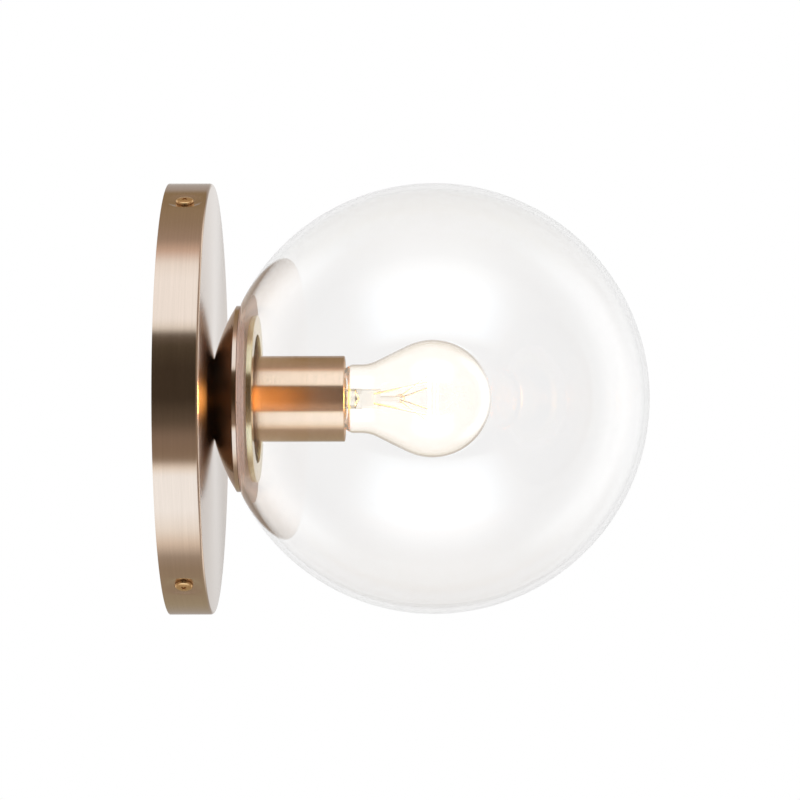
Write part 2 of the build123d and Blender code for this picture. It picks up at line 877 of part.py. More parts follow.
def holder_wire(pole, side):
    """A wire from its pole through the bush and the nipple to the terminal above or below the axis."""
    z = pole_places()[pole]
    pole_end = block_centre_x - pole_length / 2
    inside = side * (wire_radius + thread_gap)
    end = side * terminal_spread
    turn_out = nipple_back - bush_flange_height - wire_turn_rise
    fan_out = nipple_front + wire_fan_start
    terminal_back = insert_out - terminal_height
    points = [
        (pole_end - wire_end_gap, -pole_out, z),
        (pole_end - wire_straight_end, -pole_out, z),
        (wire_turn_x, -turn_out, inside),
        (0, -turn_out, inside),
        (0, -fan_out, inside),
        (0, -(fan_out + wire_fan_length), end),
        (0, -(terminal_back - wire_end_gap), end),
    ]
    core_back = terminal_back - wire_end_gap - stripped_end
    core_front = terminal_back + 2 / 3 * terminal_height
    holder_core = straight_wire((0, -core_back, end), (0, -core_front, end), core_radius)
    return wire_along(points, wire_radius) + pole_core(z) + holder_core


def earth_wire():
    """The wire from the earth pole to the tag under the earth screw."""
    z = pole_places()[-1]
    pole_end = block_centre_x - pole_length / 2
    tag_out = plate_sheet + earth_barrel_radius
    barrel_end = earth_z + earth_head_radius + earth_neck_length + core_length
    points = [
        (pole_end - wire_end_gap, -pole_out, z),
        (earth_wire_bend_x, -pole_out, z),
        (earth_x, -tag_out, barrel_end + wire_straight_end),
        (earth_x, -tag_out, barrel_end + wire_end_gap),
    ]
    tag_core = straight_wire(
        (earth_x, -tag_out, barrel_end + wire_end_gap + stripped_end),
        (earth_x, -tag_out, barrel_end - 0.8 * core_length),
        core_radius,
    )
    return wire_along(points, wire_radius) + pole_core(z) + tag_core


nodes = {
    "wall_canopy": wall_canopy(),
    "mounting_plate": mounting_plate(),
    "earth_screw": earth_screw(),
    "earth_tag": earth_tag(),
    "threaded_nipple": threaded_nipple(),
    "nipple_nuts": nipple_nuts(),
    "lock_washer": lock_washer(),
    "nipple_bush": nipple_bush(),
    "glass_dish": glass_dish(),
    "globe_glass": globe_glass(),
    "fitter_collar": fitter_collar(),
    "globe_gasket": globe_gasket(),
    "collar_bond": collar_bond(),
    "socket_sleeve": socket_sleeve(),
    "holder_cap": holder_cap(),
    "holder_insert": holder_insert(),
    "holder_terminals": holder_terminals(),
    "contact_rivets": contact_rivets(),
    "centre_contact": centre_contact(),
    "shell_contact": shell_contact(),
    "screw_shell": screw_shell(),
    "holder_skirt": holder_skirt(),
    "lamp_envelope": lamp_envelope(),
    "lamp_base": lamp_base(),
    "lamp_insulator": lamp_insulator(),
    "lamp_contact": lamp_contact_button(),
    "lamp_stem": lamp_stem(),
    "lamp_lead_ins": lamp_lead_ins(),
    "lamp_supports": lamp_supports(),
    "lamp_filament": lamp_filament(),
    "terminal_block": terminal_block(),
    "terminal_sleeves": terminal_sleeves(),
    "terminal_screws": terminal_screws(),
    "block_fixing_screw": block_fixing_screw(),
    "live_wire": holder_wire(0, 1),
    "neutral_wire": holder_wire(1, -1),
    "earth_wire": earth_wire(),
}
for name, angle in zip(("upper", "lower", "far"), side_screw_angles):
    nodes[f"canopy_screw_{name}"] = canopy_screw(angle)

os.makedirs("parts", exist_ok=True)
for name, shape in nodes.items():
    export_step(shape, f"parts/{name}.step")
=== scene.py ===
from math import asin, atan2, cos, hypot, pi, radians, sin, sqrt, tan

import bmesh
import bpy
from mathutils import Euler, Matrix, Vector


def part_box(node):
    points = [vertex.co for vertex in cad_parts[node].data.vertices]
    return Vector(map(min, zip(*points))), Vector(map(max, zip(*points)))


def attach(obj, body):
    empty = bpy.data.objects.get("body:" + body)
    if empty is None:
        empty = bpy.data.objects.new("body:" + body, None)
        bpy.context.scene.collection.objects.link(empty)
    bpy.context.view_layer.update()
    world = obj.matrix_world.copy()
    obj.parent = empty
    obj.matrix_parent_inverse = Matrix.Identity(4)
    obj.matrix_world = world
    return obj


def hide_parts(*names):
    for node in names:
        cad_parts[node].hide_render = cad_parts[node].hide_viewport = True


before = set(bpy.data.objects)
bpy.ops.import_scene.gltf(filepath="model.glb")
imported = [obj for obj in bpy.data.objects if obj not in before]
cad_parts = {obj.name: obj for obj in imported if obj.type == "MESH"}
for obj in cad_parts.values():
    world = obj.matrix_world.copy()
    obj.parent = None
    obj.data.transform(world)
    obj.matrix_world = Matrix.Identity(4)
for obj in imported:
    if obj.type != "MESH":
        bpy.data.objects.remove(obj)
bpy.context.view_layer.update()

# Millimetres in metres. "Out" is the distance from the wall, so a point's Y is minus its out. The
# lamp's axis is the Y axis, +Z is up and the camera looks along +X.
mm = 0.001

# ---------------------------------------------------------------- The camera
# The sconce is seen square from its side, a little over a metre away, from the height of its lamp.
camera_distance = 1210 * mm
camera_out = 106.2 * mm
camera_height = -0.65 * mm
camera_lens = 117.0
camera_roll = -0.12

camera = bpy.data.objects.new("camera", bpy.data.cameras.new("camera"))
camera.data.lens = camera_lens
bpy.context.scene.collection.objects.link(camera)
camera.matrix_world = (
    Matrix.Translation((-camera_distance, -camera_out, camera_height))
    @ Euler((radians(90), 0, radians(-90))).to_matrix().to_4x4()
    @ Matrix.Rotation(radians(camera_roll), 4, "Z")
)
bpy.context.scene.camera = camera
bpy.context.scene.view_settings.view_transform = "Standard"

# ---------------------------------------------------------------- The studio
# Two long soft strip lights lie above and below the camera, parallel to the lamp's axis, in front
# of a dark room. Behind the sconce is a white backdrop, and the walls between are warm and dim.


def add_node(tree, kind, settings={}, **inputs):
    """Adds a node, sets its properties, then sets or links each named input."""
    node = tree.nodes.new(kind)
    for name, value in settings.items():
        setattr(node, name, value)
    for name, value in inputs.items():
        name = int(name[1:]) if name[0] == "_" and name[1:].isdigit() else name.replace("_", " ")
        socket = node.inputs[name]
        if isinstance(value, bpy.types.NodeSocket):
            tree.links.new(value, socket)
        else:
            socket.default_value = value
    return node


def linear(colour):
    """The linear colour of an sRGB hex value such as #E9D4BC."""
    parts = [int(colour[i : i + 2], 16) / 255 for i in (1, 3, 5)]
    return [c / 12.92 if c <= 0.04045 else ((c + 0.055) / 1.055) ** 2.4 for c in parts] + [1.0]


def fill_ramp(ramp, stops):
    """Sets a colour ramp to these (position, colour) stops."""
    ends = ramp.elements[0], ramp.elements[1]
    for element, (position, colour) in zip(ends, (stops[0], stops[-1])):
        element.position = position
        element.color = (*colour[:3], 1.0)
    for position, colour in stops[1:-1]:
        ramp.elements.new(position).color = (*colour[:3], 1.0)


# What the brushed metal mirrors, by the angle from the camera's side, upwards: (degrees, light)
room_light = [
    (-180, (0.86, 0.86, 0.86)),
    (-172, (0.70, 0.69, 0.68)),
    (-165, (0.44, 0.40, 0.37)),
    (-140, (0.46, 0.41, 0.30)),
    (-100, (0.44, 0.37, 0.29)),
    (-91, (0.52, 0.46, 0.40)),
    (-81, (1.10, 1.05, 0.98)),
    (-72, (1.36, 1.46, 1.54)),
    (-60, (1.50, 1.70, 1.92)),
    (-40, (1.50, 1.70, 1.92)),
    (-36, (1.30, 1.30, 1.25)),
    (-32, (0.38, 0.30, 0.23)),
    (-20, (0.32, 0.25, 0.20)),
    (-12, (0.14, 0.11, 0.08)),
    (0, (0.040, 0.026, 0.010)),
    (16, (0.040, 0.026, 0.010)),
    (27, (0.075, 0.058, 0.032)),
    (34, (0.16, 0.13, 0.10)),
    (37, (1.20, 1.25, 1.25)),
    (42, (1.44, 1.57, 1.72)),
    (65, (1.44, 1.57, 1.72)),
    (75, (1.34, 1.42, 1.50)),
    (84, (0.90, 0.72, 0.62)),
    (92, (0.50, 0.40, 0.33)),
    (105, (0.42, 0.33, 0.24)),
    (120, (0.40, 0.31, 0.20)),
    (141, (0.34, 0.25, 0.14)),
    (147, (0.47, 0.42, 0.38)),
    (163, (0.50, 0.47, 0.44)),
    (171, (0.85, 0.85, 0.85)),
    (180, (0.90, 0.90, 0.90)),
]
# What clear glass mirrors, by the share of the way round from behind the sconce, over its top last
glass_light = [
    (0.00, (1.00, 1.00, 1.00)),
    (0.12, (0.92, 0.91, 0.90)),
    (0.20, (0.60, 0.54, 0.48)),
    (0.25, (0.60, 0.54, 0.48)),
    (0.28, (1.00, 1.00, 1.00)),
    (0.31, (1.25, 1.25, 1.25)),
    (0.37, (1.25, 1.25, 1.25)),
    (0.41, (0.40, 0.36, 0.33)),
    (0.45, (0.16, 0.12, 0.10)),
    (0.55, (0.16, 0.12, 0.10)),
    (0.59, (0.40, 0.36, 0.33)),
    (0.62, (1.22, 1.22, 1.22)),
    (0.67, (1.22, 1.22, 1.22)),
    (0.73, (0.80, 0.76, 0.72)),
    (0.80, (0.60, 0.54, 0.48)),
    (0.88, (0.92, 0.91, 0.90)),
    (1.00, (1.00, 1.00, 1.00)),
]
# The strips are this bright up to the first of these heights on the unit sphere, towards the wall
# or the room, and fade out by the second.
metal_strip = 0.36, 0.70
glass_strip = 0.14, 0.78
metal_end_light = (0.40, 0.31, 0.24)
glass_end_light = (0.24, 0.23, 0.22)
metal_behind_light = (1.40, 1.38, 1.35)
glass_behind_light = (0.92, 0.92, 0.92)
twice_mirrored_light = (0.86, 0.86, 0.86)
# Light through more than this many faces of glass has come from metal inside the globe.
globe_faces = 3.5
diffuse_light = 0.8

world = bpy.data.worlds.new("studio")
bpy.context.scene.world = world
world.use_nodes = True
tree = world.node_tree
tree.nodes.clear()
way = add_node(tree, "ShaderNodeTexCoord").outputs["Generated"]
way = add_node(tree, "ShaderNodeSeparateXYZ", _0=way)
towards_camera = add_node(tree, "ShaderNodeMath", {"operation": "MULTIPLY"}, _0=way.outputs["X"], _1=-1.0)
turn = add_node(
    tree, "ShaderNodeMath", {"operation": "ARCTAN2"}, _0=way.outputs["Z"], _1=towards_camera.outputs[0]
)
turn = add_node(tree, "ShaderNodeMapRange", _0=turn.outputs[0], _1=-pi, _2=pi)
along = add_node(tree, "ShaderNodeMath", {"operation": "ABSOLUTE"}, _0=way.outputs["Y"])
behind = add_node(tree, "ShaderNodeMapRange", _0=way.outputs["X"], _1=0.1, _2=0.5)


def studio_side(stops, strip, past_the_strips, behind_them):
    """The light round the lamp's axis by these stops, and past the strips' ends and behind them."""
    round_axis = add_node(tree, "ShaderNodeValToRGB", Fac=turn.outputs[0])
    fill_ramp(round_axis.color_ramp, stops)
    beyond = add_node(
        tree, "ShaderNodeMapRange", {"interpolation_type": "SMOOTHSTEP"}, _0=along.outputs[0], _1=strip[0],
        _2=strip[1],
    )
    ends = add_node(
        tree, "ShaderNodeMix", {"data_type": "RGBA"}, Factor=behind.outputs[0], _6=(*past_the_strips, 1),
        _7=(*behind_them, 1),
    )
    return add_node(
        tree, "ShaderNodeMix", {"data_type": "RGBA"}, Factor=beyond.outputs[0],
        _6=round_axis.outputs["Color"], _7=ends.outputs[2],
    )


turned_stops = [((angle + 180) / 360, light) for angle, light in room_light]
on_metal = studio_side(turned_stops, metal_strip, metal_end_light, metal_behind_light)
once_on_glass = studio_side(glass_light, glass_strip, glass_end_light, glass_behind_light)
path = add_node(tree, "ShaderNodeLightPath")
again = add_node(
    tree, "ShaderNodeMath", {"operation": "GREATER_THAN"}, _0=path.outputs["Glossy Depth"], _1=1.5
)
on_glass = add_node(
    tree, "ShaderNodeMix", {"data_type": "RGBA"}, Factor=again.outputs[0], _6=once_on_glass.outputs[2],
    _7=(*twice_mirrored_light, 1),
)
few_faces = add_node(
    tree, "ShaderNodeMath", {"operation": "LESS_THAN"}, _0=path.outputs["Transmission Depth"], _1=globe_faces
)
glass_ray = add_node(
    tree, "ShaderNodeMath", {"operation": "MULTIPLY"}, _0=path.outputs["Is Singular Ray"],
    _1=few_faces.outputs[0],
)
glossy = add_node(
    tree, "ShaderNodeMix", {"data_type": "RGBA"}, Factor=glass_ray.outputs[0],
    _6=on_metal.outputs[2], _7=on_glass.outputs[2],
)
soft = add_node(
    tree, "ShaderNodeMix", {"data_type": "RGBA"}, Factor=path.outputs["Diffuse Depth"],
    _6=glossy.outputs[2], _7=(diffuse_light, diffuse_light, diffuse_light, 1),
)
bounces = add_node(
    tree, "ShaderNodeMath", {"operation": "ADD"}, _0=path.outputs["Glossy Depth"],
    _1=path.outputs["Diffuse Depth"],
)
seen_straight = add_node(tree, "ShaderNodeMath", {"operation": "LESS_THAN"}, _0=bounces.outputs[0], _1=0.5)
backdrop = add_node(
    tree, "ShaderNodeMix", {"data_type": "RGBA"}, Factor=seen_straight.outputs[0], _6=soft.outputs[2],
    _7=(1, 1, 1, 1),
)
sky = add_node(tree, "ShaderNodeBackground", Color=backdrop.outputs[2], Strength=1.0)
add_node(tree, "ShaderNodeOutputWorld", Surface=sky.outputs[0])

# The floor lies well below the sconce, out of the camera's view, and takes its soft shadow. What
# the metal and glass mirror is the studio's lower strip light, which shines from below the floor.
floor_height = -450 * mm
floor_half = 1500 * mm

bm = bmesh.new()
bmesh.ops.create_grid(bm, x_segments=1, y_segments=1, size=floor_half)
bmesh.ops.translate(bm, verts=bm.verts, vec=(0, 0, floor_height))
mesh = bpy.data.meshes.new("floor")
bm.to_mesh(mesh)
bm.free()
floor = bpy.data.objects.new("floor", mesh)
bpy.context.scene.collection.objects.link(floor)
paint = bpy.data.materials.new("floor_paint")
paint.use_nodes = True
tree = paint.node_tree
tree.nodes.clear()
matt = add_node(tree, "ShaderNodeBsdfPrincipled", Base_Color=linear("#F2F1EF"), Roughness=0.7)
gone = add_node(tree, "ShaderNodeBsdfTransparent")
mirrored = add_node(
    tree, "ShaderNodeMath", {"operation": "GREATER_THAN"},
    _0=add_node(tree, "ShaderNodeLightPath").outputs["Glossy Depth"], _1=0.5,
)
both = add_node(tree, "ShaderNodeMixShader", _0=mirrored.outputs[0], _1=matt.outputs[0], _2=gone.outputs[0])
add_node(tree, "ShaderNodeOutputMaterial", Surface=both.outputs[0])
floor.data.materials.append(paint)

# ---------------------------------------------------------------- Canopy
# The canopy is a shallow pan of brass sheet, spun on a lathe, brushed while it turns, then plated
# in rose gold and lacquered. Its rim is pierced and dimpled for three screws.
canopy_sheet = 1.2 * mm
canopy_edge = 1.5 * mm
canopy_bore = 5.1 * mm
dimple_radius = 8.6 * mm
dimple_depth = 1.15 * mm
seat_radius = 4.4 * mm
seat_depth = 1.1 * mm
screw_hole_radius = 2.25 * mm
rose_gold_colour = "#D1BCAA"
brush_line = 0.22 * mm
brush_length = 14 * mm
brush_length_at = 100 * mm
turns = 256


def out_span(node):
    """How far from the wall a CAD node begins and ends."""
    low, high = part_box(node)
    return -high.y, -low.y


def arc(centre, bend, start, end, steps):
    """Points of an arc in (radius, out); 0 degrees is away from the axis and 90 is out into the room."""
    angles = [radians(start + (end - start) * i / steps) for i in range(steps + 1)]
    return [(centre[0] + bend * cos(a), centre[1] + bend * sin(a)) for a in angles]


def mesh_object(name, bm, body, replaced, slot, *materials):
    """Makes a finished piece of a bmesh: smooth but for its sharp edges, on its body, for its CAD node."""
    for face in bm.faces:
        face.smooth = True
    for edge in bm.edges:
        edge.smooth = len(edge.link_faces) == 2 and edge.calc_face_angle() < radians(32)
    mesh = bpy.data.meshes.new(name)
    bm.to_mesh(mesh)
    bm.free()
    for material in materials:
        mesh.materials.append(material)
    piece = bpy.data.objects.new(name, mesh)
    bpy.context.scene.collection.objects.link(piece)
    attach(piece, body)
    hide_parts(replaced)
    return piece


def turned(outline, closed=True, steps=turns):
    """Turns an outline of (radius, out) points about the lamp's axis."""
    bm = bmesh.new()
    corners = [bm.verts.new((radius, -out, 0)) for radius, out in outline]
    followers = corners[1:] + (corners[:1] if closed else [])
    edges = [bm.edges.new(pair) for pair in zip(corners, followers)]
    bmesh.ops.spin(
        bm, geom=corners + edges, cent=(0, 0, 0), axis=(0, 1, 0), angle=2 * pi, steps=steps, use_merge=True
    )
    bmesh.ops.remove_doubles(bm, verts=bm.verts, dist=0.001 * mm)
    bmesh.ops.recalc_face_normals(bm, faces=bm.faces)
    return bm


def cut_with(bm, cutter):
    """The bmesh with the cutter's shape taken away."""
    objects = []
    for part in (bm, cutter):
        mesh = bpy.data.meshes.new("blank")
        part.to_mesh(mesh)
        part.free()
        blank = bpy.data.objects.new("blank", mesh)
        bpy.context.scene.collection.objects.link(blank)
        objects.append(blank)
    cut = objects[0].modifiers.new("cut", "BOOLEAN")
    cut.operation = "DIFFERENCE"
    cut.object = objects[1]
    bpy.context.view_layer.update()
    whole = objects[0].evaluated_get(bpy.context.evaluated_depsgraph_get()).to_mesh()
    result = bmesh.new()
    result.from_mesh(whole)
    for blank in objects:
        bpy.data.meshes.remove(blank.data)
    return result


def radial_place(angle, out):
    """The place whose +Z points away from the lamp's axis at this angle from the camera's side, upwards."""
    return Matrix.Translation((0, -out, 0)) @ Matrix.Rotation(radians(angle - 90), 4, "Y")


def round_brushed(name, colour, roughness, anisotropy, line, depth, tint=0.14):
    """Lathe-brushed metal: fine rings round the lamp's axis, which draw a highlight out across them."""
    material = bpy.data.materials.new(name)
    material.use_nodes = True
    tree = material.node_tree
    tree.nodes.clear()
    place = add_node(tree, "ShaderNodeTexCoord").outputs["Object"]
    axes = add_node(tree, "ShaderNodeSeparateXYZ", _0=place)
    radius = add_node(
        tree, "ShaderNodeVectorMath", {"operation": "MULTIPLY"}, _0=place, _1=(1, 0, 1)
    )
    radius = add_node(tree, "ShaderNodeVectorMath", {"operation": "LENGTH"}, _0=radius.outputs[0])
    turn = add_node(
        tree, "ShaderNodeMath", {"operation": "ARCTAN2"}, _0=axes.outputs["Z"], _1=axes.outputs["X"]
    )
    run = add_node(
        tree, "ShaderNodeMath", {"operation": "MULTIPLY"}, _0=turn.outputs[0],
        _1=brush_length_at * line / brush_length,
    )
    grain = add_node(
        tree, "ShaderNodeCombineXYZ", _0=radius.outputs["Value"], _1=axes.outputs["Y"], _2=run.outputs[0]
    )
    fine = add_node(tree, "ShaderNodeTexNoise", Vector=grain.outputs[0], Scale=1 / line, Detail=3.0)
    broad = add_node(tree, "ShaderNodeTexNoise", Vector=grain.outputs[0], Scale=0.3 / line, Detail=2.0)
    base = linear(colour)
    worn = [c * (1 - tint) for c in base[:3]] + [1.0]
    shade = add_node(
        tree, "ShaderNodeMix", {"data_type": "RGBA"}, Factor=broad.outputs["Fac"], _6=worn, _7=base
    )
    rough = add_node(
        tree, "ShaderNodeMapRange", _0=fine.outputs["Fac"], _1=0.2, _2=0.8, _3=roughness * 0.85,
        _4=roughness * 1.15,
    )
    bump = add_node(
        tree, "ShaderNodeBump", Strength=0.35, Distance=depth, Height=fine.outputs["Fac"]
    )
    tangent = add_node(tree, "ShaderNodeTangent", {"direction_type": "RADIAL", "axis": "Y"})
    surface = add_node(
        tree, "ShaderNodeBsdfPrincipled", Base_Color=shade.outputs[2], Metallic=1.0,
        Roughness=rough.outputs[0], Anisotropic=anisotropy, Anisotropic_Rotation=0.25,
        Normal=bump.outputs[0], Tangent=tangent.outputs[0],
    )
    add_node(tree, "ShaderNodeOutputMaterial", Surface=surface.outputs[0])
    return material


# Rose gold plate under lacquer: the brush's rings draw each light out into bands across the rim. The
# front face is brushed finer, so that it mirrors the dish softly.
rose_gold = round_brushed("brushed_rose_gold_plate", rose_gold_colour, 0.18, 0.95, brush_line, 0.002 * mm)
polished_rose_gold = round_brushed(
    "fine_brushed_rose_gold_plate", rose_gold_colour, 0.125, 0.9, brush_line, 0.0008 * mm
)

canopy_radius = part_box("wall_canopy")[1].x
canopy_depth = out_span("wall_canopy")[1]
screw_places = {}
for name in ("upper", "lower", "far"):
    low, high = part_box(f"canopy_screw_{name}")
    middle = (low + high) / 2
    screw_places[name] = radial_place(atan2(middle.z, -middle.x) * 180 / pi, -middle.y)

inner = canopy_radius - canopy_sheet
edge_centre = canopy_radius - canopy_edge, canopy_depth - canopy_edge
bm = turned(
    [(canopy_bore, canopy_depth)]
    + arc(edge_centre, canopy_edge, 90, 0, 8)
    + [(canopy_radius, 0), (inner, 0), (inner, canopy_depth - canopy_sheet)]
    + [(canopy_bore, canopy_depth - canopy_sheet)]
)
dimple_ball = (dimple_radius**2 + dimple_depth**2) / (2 * dimple_depth)
for place in screw_places.values():
    cutter = bmesh.new()
    at = place @ Matrix.Translation((0, 0, canopy_radius - dimple_depth + dimple_ball))
    bmesh.ops.create_icosphere(cutter, subdivisions=6, radius=dimple_ball, matrix=at)
    bm = cut_with(bm, cutter)
    seat = canopy_radius - seat_depth
    for radius, start in ((seat_radius, seat), (screw_hole_radius, seat - 4 * canopy_sheet)):
        cutter = bmesh.new()
        length = canopy_radius + canopy_sheet - start
        at = place @ Matrix.Translation((0, 0, start + length / 2))
        bmesh.ops.create_cone(
            cutter, cap_ends=True, segments=48, radius1=radius, radius2=radius, depth=length, matrix=at
        )
        bm = cut_with(bm, cutter)
for face in bm.faces:
    if abs(face.calc_center_median().y + canopy_depth) < 0.02 * mm:
        face.material_index = 1
mesh_object("canopy_pan", bm, "fixture", "wall_canopy", "rose_gold", rose_gold, polished_rose_gold)

# ---------------------------------------------------------------- Side screws
# Three M4 pan head machine screws of turned brass hold the canopy to the lugs behind it. Each has
# a cross recess and is lacquered with the canopy.
head_radius = 4.0 * mm
head_height = 1.8 * mm
shank_radius = 1.95 * mm
shank_length = 7.3 * mm
screw_pitch = 0.7 * mm
recess_width = 0.9 * mm
recess_reach = 2.1 * mm
recess_depth = 1.2 * mm
recess_foot = 0.35, 0.55, 1
head_crown = 12 * mm
head_edge = 1.2 * mm
head_edge_drop = 1.45 * mm
thread_root = shank_radius - 0.4 * mm
thread_crest = 0.1 * mm
thread_run_out = 0.4 * mm
seat_gap = 0.05 * mm
screw_seat = canopy_radius - seat_depth + seat_gap


def polished_metal(name, colour, roughness, speck, depth):
    """Machined or barrel-polished metal with fine random scratches of this size."""
    material = bpy.data.materials.new(name)
    material.use_nodes = True
    tree = material.node_tree
    tree.nodes.clear()
    place = add_node(tree, "ShaderNodeTexCoord").outputs["Object"]
    grain = add_node(tree, "ShaderNodeTexNoise", Vector=place, Scale=1 / speck, Detail=4.0)
    base = linear(colour)
    dull = [c * 0.88 for c in base[:3]] + [1.0]
    shade = add_node(
        tree, "ShaderNodeMix", {"data_type": "RGBA"}, Factor=grain.outputs["Fac"], _6=dull, _7=base
    )
    rough = add_node(
        tree, "ShaderNodeMapRange", _0=grain.outputs["Fac"], _1=0.3, _2=0.7, _3=roughness * 0.8,
        _4=roughness * 1.2,
    )
    bump = add_node(tree, "ShaderNodeBump", Strength=0.3, Distance=depth, Height=grain.outputs["Fac"])
    surface = add_node(
        tree, "ShaderNodeBsdfPrincipled", Base_Color=shade.outputs[2], Metallic=1.0,
        Roughness=rough.outputs[0], Normal=bump.outputs[0],
    )
    add_node(tree, "ShaderNodeOutputMaterial", Surface=surface.outputs[0])
    return material


def spun_screw(outline, steps):
    """Turns an outline of (radius, height) points about the +Z axis."""
    bm = bmesh.new()
    corners = [bm.verts.new((radius, 0, height)) for radius, height in outline]
    edges = [bm.edges.new(pair) for pair in zip(corners, corners[1:])]
    bmesh.ops.spin(
        bm, geom=corners + edges, cent=(0, 0, 0), axis=(0, 0, 1), angle=2 * pi, steps=steps, use_merge=True
    )
    bmesh.ops.remove_doubles(bm, verts=bm.verts, dist=0.001 * mm)
    bmesh.ops.recalc_face_normals(bm, faces=bm.faces)
    return bm


# Turned and barrel-polished brass: warm, with broad soft highlights.
screw_brass = polished_metal("lacquered_screw_brass", "#E6BE8A", 0.3, 0.4 * mm, 0.01 * mm)
side = [(0, head_height)]
side += arc((0, head_height - head_crown), head_crown, 90, 79, 4)[1:]
side += arc((head_radius - head_edge, head_height - head_edge_drop), head_edge, 62, 0, 6)
side += [(head_radius, 0), (shank_radius, 0)]
thread_turns = int((shank_length - 2 * thread_run_out) / screw_pitch)
for i in range(thread_turns):
    top = -thread_run_out - i * screw_pitch
    side += [(shank_radius, top - thread_crest), (thread_root, top - 0.5 * screw_pitch)]
side += [(shank_radius, thread_run_out - shank_length), (thread_root, -shank_length), (0, -shank_length)]

for name, place in screw_places.items():
    bm = spun_screw(side, 48)
    for quarter in (45, 135):
        cutter = bmesh.new()
        bmesh.ops.create_cube(cutter, size=1.0)
        bmesh.ops.scale(cutter, verts=cutter.verts, vec=(2 * recess_reach, recess_width, 2 * recess_depth))
        deep = [v for v in cutter.verts if v.co.z < 0]
        bmesh.ops.scale(cutter, verts=deep, vec=recess_foot)
        bmesh.ops.rotate(cutter, verts=cutter.verts, matrix=Matrix.Rotation(radians(quarter), 3, "Z"))
        bmesh.ops.translate(cutter, verts=cutter.verts, vec=(0, 0, head_height))
        bm = cut_with(bm, cutter)
    bmesh.ops.transform(bm, matrix=place @ Matrix.Translation((0, 0, screw_seat)), verts=bm.verts)
    mesh_object(
        f"side_screw_{name}", bm, f"screw_{name}", f"canopy_screw_{name}", "screw_brass", screw_brass
    )

# ---------------------------------------------------------------- Dish
# The dish behind the globe is spun like the canopy: a shallow spherical cap with a flat floor and a
# thick rim, turned true to take the globe's collar.
dish_flat_radius = 18.3 * mm
dish_rim_length = 2.1 * mm
dish_sheet = 1.2 * mm
rim_bore_radius = 40.0 * mm
rim_edge = 0.35 * mm

dish_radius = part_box("glass_dish")[1].x
dish_back, rim_front = out_span("glass_dish")
cap_depth = rim_front - dish_rim_length - dish_back
cap_height = (dish_radius**2 + cap_depth**2 - dish_flat_radius**2) / (2 * cap_depth)
cap_radius = hypot(dish_flat_radius, cap_height)
cap_centre = 0, dish_back + cap_height


def cap_angle(radius, reach):
    """The angle at which a sphere of this radius about the dish's centre reaches that far from the axis."""
    return -90 + asin(reach / radius) * 180 / pi


inner_cap = cap_radius - dish_sheet
floor_reach = sqrt(inner_cap**2 - (cap_height - dish_sheet) ** 2)
outer_foot = cap_angle(cap_radius, dish_flat_radius)
inner_foot = cap_angle(inner_cap, floor_reach)
bm = turned(
    [(canopy_bore, dish_back)]
    + arc(cap_centre, cap_radius, outer_foot, cap_angle(cap_radius, dish_radius), 20)
    + arc((dish_radius - rim_edge, rim_front - rim_edge), rim_edge, 0, 90, 4)
    + arc((rim_bore_radius + rim_edge, rim_front - rim_edge), rim_edge, 90, 180, 4)
    + arc(cap_centre, inner_cap, cap_angle(inner_cap, rim_bore_radius), inner_foot, 20)
    + [(canopy_bore, dish_back + dish_sheet)]
)
mesh_object("dish_cup", bm, "fixture", "glass_dish", "rose_gold", rose_gold)

# ---------------------------------------------------------------- Socket sleeve
# The sleeve is a cup drawn from the same brass sheet, brushed and plated like the canopy. It hides
# the lampholder, and its back is clamped on the dish by the nut inside it.
sleeve_wall = 1.0 * mm
sleeve_corner = 2.6 * mm
sleeve_inner_corner = 1.6 * mm

sleeve_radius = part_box("socket_sleeve")[1].x
sleeve_back, sleeve_front = out_span("socket_sleeve")
lip = sleeve_wall / 2
inside = sleeve_radius - sleeve_wall
sleeve_floor = sleeve_back + sleeve_wall
bm = turned(
    [(canopy_bore, sleeve_back)]
    + arc((sleeve_radius - sleeve_corner, sleeve_back + sleeve_corner), sleeve_corner, -90, 0, 8)
    + arc((sleeve_radius - lip, sleeve_front - lip), lip, 0, 180, 8)
    + arc((inside - sleeve_inner_corner, sleeve_floor + sleeve_inner_corner), sleeve_inner_corner, 0, -90, 6)
    + [(canopy_bore, sleeve_floor)]
)
# The same plate, brushed a little finer. Its colour is lighter and warmer than the canopy's, and this is
# painted warm light from the lamp.
sleeve_gold_with_painted_warmth = round_brushed("brushed_gold_plate_painted_warm", "#E7CBB0", 0.17, 0.93, brush_line, 0.002 * mm)
mesh_object("sleeve_cup", bm, "fixture", "socket_sleeve", "rose_gold", sleeve_gold_with_painted_warmth)

# ---------------------------------------------------------------- Collar
# The collar is turned from brass bar and plated a paler gold with a satin finish. It is bonded in
# the globe's opening and screws into the dish's rim.
collar_wall = 1.5 * mm
collar_flange = 2.0 * mm
collar_hole_radius = 30.0 * mm
collar_tube_radius = 39.0 * mm
collar_skirt = 2.2 * mm
collar_edge = 0.3 * mm

# Satin gold plate: paler and greener than the rose gold, with a dull sheen.
pale_gold = round_brushed("satin_pale_gold_plate", "#EBDCB6", 0.2, 0.4, 0.3 * mm, 0.002 * mm)
skirt_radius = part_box("fitter_collar")[1].x
collar_back, collar_front = out_span("fitter_collar")
tube_inside = collar_tube_radius - collar_wall
flange_back = collar_front - collar_flange
bm = turned(
    [(tube_inside, collar_back), (skirt_radius, collar_back), (skirt_radius, collar_back + collar_skirt)]
    + [(collar_tube_radius, collar_back + collar_skirt)]
    + arc((collar_tube_radius - collar_edge, collar_front - collar_edge), collar_edge, 0, 90, 4)
    + arc((collar_hole_radius + collar_edge, collar_front - collar_edge), collar_edge, 90, 180, 4)
    + [(collar_hole_radius, flange_back), (tube_inside, flange_back)]
)
mesh_object("collar_ring", bm, "globe", "fitter_collar", "pale_gold", pale_gold)

